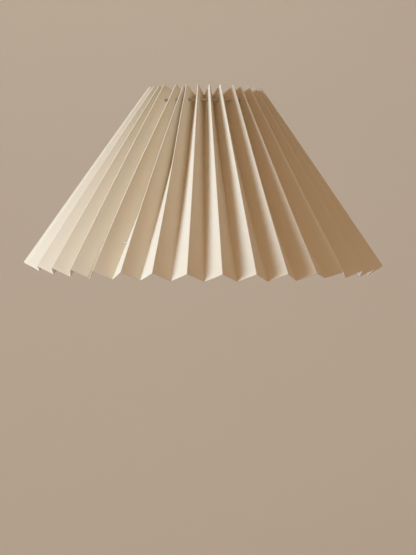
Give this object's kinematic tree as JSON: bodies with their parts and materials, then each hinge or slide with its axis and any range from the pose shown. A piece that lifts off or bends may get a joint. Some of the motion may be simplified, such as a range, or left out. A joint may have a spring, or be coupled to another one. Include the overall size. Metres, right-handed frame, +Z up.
{
  "type": "pleated lamp shade",
  "caption": "Cone lamp shade of accordion-pleated cream cloth, open at both ends, threaded on a wire ring and hung on a tilting gimbal fitter.",
  "frame": {"origin": "centre of the fitter ring's underside, where the shade sits on the lampholder", "axes": "+Z up along the shade's axis, towards the narrow open top; X is the gimbal's pivot axis; -Y is the front"},
  "size_m": [0.4498, 0.4498, 0.2281],
  "materials": {
    "cream_cloth": "matt woven cloth laminated on stiff film",
    "cream_thread": "matt cotton thread",
    "bright_wire": "bright drawn steel wire",
    "zinc_plate": "bright zinc plate"
  },
  "bodies": {
    "fitting": {"fitter_ring": "zinc_plate", "gimbal_arm_left": "zinc_plate", "gimbal_arm_right": "zinc_plate"},
    "shade": {"gather_ring": "bright_wire", "hem_tie_1": "cream_thread", "hem_tie_2": "cream_thread", "hem_tie_3": "cream_thread", "hem_tie_4": "cream_thread", "lower_ring": "bright_wire", "pivot_lug_left": "zinc_plate", "pivot_lug_right": "zinc_plate", "pivot_rivet_left": "zinc_plate", "pivot_rivet_right": "zinc_plate", "pivot_washer_left": "zinc_plate", "pivot_washer_right": "zinc_plate", "pleated_strip_a": "cream_cloth", "pleated_strip_b": "cream_cloth", "rib_1": "bright_wire", "rib_2": "bright_wire", "rib_3": "bright_wire", "rib_4": "bright_wire"}
  },
  "joints": [
    {"name": "gimbal_tilt", "type": "hinge", "parent": "fitting", "child": "shade", "pos_m": [0, 0, 0.072], "axis": [1, 0, 0], "range_deg": [-40, 40]}
  ]
}
